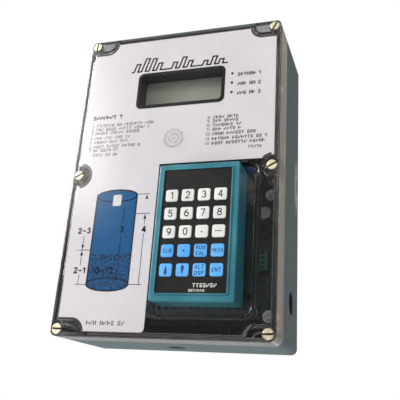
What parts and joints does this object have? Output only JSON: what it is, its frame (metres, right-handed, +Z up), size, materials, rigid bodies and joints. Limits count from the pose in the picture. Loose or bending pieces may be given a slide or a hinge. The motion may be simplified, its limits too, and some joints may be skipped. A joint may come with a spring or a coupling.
{
  "type": "ultrasonic level controller",
  "caption": "Wall-mounted level controller in a deep box with a clear screwed lid, a display behind a window, and a sprung-key handset resting in a pocket of the lid.",
  "frame": {"origin": "middle of the box's back face, which lies on the wall", "axes": "+Z up, +Y into the wall, +X to the right for someone who faces the lid"},
  "size_m": [0.209, 0.1178, 0.312],
  "materials": {
    "box_plastic": "satin moulded plastic",
    "clear_plastic": "clear moulded plastic",
    "gasket_rubber": "matt",
    "screw_brass": "nickel-plated, worn",
    "insert_brass": "turned",
    "panel_print": "printed sheet",
    "black_plastic": "matt",
    "display_glass": "polished",
    "frame_metal": "black painted sheet",
    "circuit_board": "solder mask",
    "zinc_steel": "zinc-plated",
    "lamp_red": "clear red",
    "terminal_plastic": "moulded",
    "header_green": "moulded",
    "core_iron": "varnished laminations",
    "coil_tape": "wound tape",
    "can_sleeve": "printed sleeve on an aluminium can",
    "fuse_glass": "glass tube with metal caps",
    "trimmer_blue": "moulded",
    "film_brown": "dipped",
    "ribbon_grey": "flat cable",
    "teal_plastic": "satin moulded plastic",
    "keypad_black": "satin print",
    "key_white": "satin",
    "key_blue": "satin",
    "battery_sleeve": "painted can",
    "magnet": "flexible magnet"
  },
  "bodies": {
    "controller": {"back_box": "box_plastic", "lid": "clear_plastic", "lid_gasket": "gasket_rubber", "lid_screws": "screw_brass", "screw_inserts": "insert_brass", "front_overlay": "panel_print", "display_hood": "black_plastic", "lcd_frame": "frame_metal", "lcd_glass": "display_glass", "display_board": "circuit_board", "display_standoffs": "zinc_steel", "alarm_lamps": "lamp_red", "lamp_spacers": "black_plastic", "main_board": "circuit_board", "board_screws": "zinc_steel", "terminal_strip": "terminal_plastic", "terminal_screws": "zinc_steel", "terminal_header": "header_green", "transformer_core": "core_iron", "transformer_coil": "coil_tape", "relays": "black_plastic", "fuse_holder": "terminal_plastic", "fuse": "fuse_glass", "capacitors": "can_sleeve", "chips": "black_plastic", "trimmer": "trimmer_blue", "film_capacitor": "film_brown", "infrared_receiver": "black_plastic", "board_link": "ribbon_grey", "keeper_plates": "zinc_steel", "handset_front": "teal_plastic", "handset_back": "teal_plastic", "keypad_panel": "keypad_black", "contact_domes": "zinc_steel", "handset_board": "circuit_board", "handset_battery": "battery_sleeve", "battery_door": "teal_plastic", "infrared_lamp": "black_plastic", "magnet_strips": "magnet", "handset_screws": "zinc_steel"},
    "key_1_cap": {"key_1": "key_white"},
    "key_2_cap": {"key_2": "key_white"},
    "key_3_cap": {"key_3": "key_white"},
    "key_4_cap": {"key_4": "key_white"},
    "key_5_cap": {"key_5": "key_white"},
    "key_6_cap": {"key_6": "key_white"},
    "key_7_cap": {"key_7": "key_white"},
    "key_8_cap": {"key_8": "key_white"},
    "key_9_cap": {"key_9": "key_white"},
    "key_0_cap": {"key_0": "key_white"},
    "key_point_cap": {"key_point": "key_white"},
    "key_dash_cap": {"key_dash": "key_white"},
    "key_clear_cap": {"key_clear": "key_blue"},
    "key_select_cap": {"key_select": "key_blue"},
    "key_run_cal_cap": {"key_run_cal": "key_blue"},
    "key_measure_cap": {"key_measure": "key_blue"},
    "key_up_cap": {"key_up": "key_blue"},
    "key_down_cap": {"key_down": "key_blue"},
    "key_alt_cap": {"key_alt": "key_blue"},
    "key_enter_cap": {"key_enter": "key_blue"}
  },
  "joints": [
    {"name": "key_1_press", "type": "slide", "parent": "controller", "child": "key_1_cap", "axis": [0, 1, 0], "range_m": [0, 0.0005], "stiffness_N_per_m": 120, "springref_m": -0.0004},
    {"name": "key_2_press", "type": "slide", "parent": "controller", "child": "key_2_cap", "axis": [0, 1, 0], "range_m": [0, 0.0005], "stiffness_N_per_m": 120, "springref_m": -0.0004},
    {"name": "key_3_press", "type": "slide", "parent": "controller", "child": "key_3_cap", "axis": [0, 1, 0], "range_m": [0, 0.0005], "stiffness_N_per_m": 120, "springref_m": -0.0004},
    {"name": "key_4_press", "type": "slide", "parent": "controller", "child": "key_4_cap", "axis": [0, 1, 0], "range_m": [0, 0.0005], "stiffness_N_per_m": 120, "springref_m": -0.0004},
    {"name": "key_5_press", "type": "slide", "parent": "controller", "child": "key_5_cap", "axis": [0, 1, 0], "range_m": [0, 0.0005], "stiffness_N_per_m": 120, "springref_m": -0.0004},
    {"name": "key_6_press", "type": "slide", "parent": "controller", "child": "key_6_cap", "axis": [0, 1, 0], "range_m": [0, 0.0005], "stiffness_N_per_m": 120, "springref_m": -0.0004},
    {"name": "key_7_press", "type": "slide", "parent": "controller", "child": "key_7_cap", "axis": [0, 1, 0], "range_m": [0, 0.0005], "stiffness_N_per_m": 120, "springref_m": -0.0004},
    {"name": "key_8_press", "type": "slide", "parent": "controller", "child": "key_8_cap", "axis": [0, 1, 0], "range_m": [0, 0.0005], "stiffness_N_per_m": 120, "springref_m": -0.0004},
    {"name": "key_9_press", "type": "slide", "parent": "controller", "child": "key_9_cap", "axis": [0, 1, 0], "range_m": [0, 0.0005], "stiffness_N_per_m": 120, "springref_m": -0.0004},
    {"name": "key_0_press", "type": "slide", "parent": "controller", "child": "key_0_cap", "axis": [0, 1, 0], "range_m": [0, 0.0005], "stiffness_N_per_m": 120, "springref_m": -0.0004},
    {"name": "key_point_press", "type": "slide", "parent": "controller", "child": "key_point_cap", "axis": [0, 1, 0], "range_m": [0, 0.0005], "stiffness_N_per_m": 120, "springref_m": -0.0004},
    {"name": "key_dash_press", "type": "slide", "parent": "controller", "child": "key_dash_cap", "axis": [0, 1, 0], "range_m": [0, 0.0005], "stiffness_N_per_m": 120, "springref_m": -0.0004},
    {"name": "key_clear_press", "type": "slide", "parent": "controller", "child": "key_clear_cap", "axis": [0, 1, 0], "range_m": [0, 0.0005], "stiffness_N_per_m": 120, "springref_m": -0.0004},
    {"name": "key_select_press", "type": "slide", "parent": "controller", "child": "key_select_cap", "axis": [0, 1, 0], "range_m": [0, 0.0005], "stiffness_N_per_m": 120, "springref_m": -0.0004},
    {"name": "key_run_cal_press", "type": "slide", "parent": "controller", "child": "key_run_cal_cap", "axis": [0, 1, 0], "range_m": [0, 0.0005], "stiffness_N_per_m": 120, "springref_m": -0.0004},
    {"name": "key_measure_press", "type": "slide", "parent": "controller", "child": "key_measure_cap", "axis": [0, 1, 0], "range_m": [0, 0.0005], "stiffness_N_per_m": 120, "springref_m": -0.0004},
    {"name": "key_up_press", "type": "slide", "parent": "controller", "child": "key_up_cap", "axis": [0, 1, 0], "range_m": [0, 0.0005], "stiffness_N_per_m": 120, "springref_m": -0.0004},
    {"name": "key_down_press", "type": "slide", "parent": "controller", "child": "key_down_cap", "axis": [0, 1, 0], "range_m": [0, 0.0005], "stiffness_N_per_m": 120, "springref_m": -0.0004},
    {"name": "key_alt_press", "type": "slide", "parent": "controller", "child": "key_alt_cap", "axis": [0, 1, 0], "range_m": [0, 0.0005], "stiffness_N_per_m": 120, "springref_m": -0.0004},
    {"name": "key_enter_press", "type": "slide", "parent": "controller", "child": "key_enter_cap", "axis": [0, 1, 0], "range_m": [0, 0.0005], "stiffness_N_per_m": 120, "springref_m": -0.0004}
  ]
}
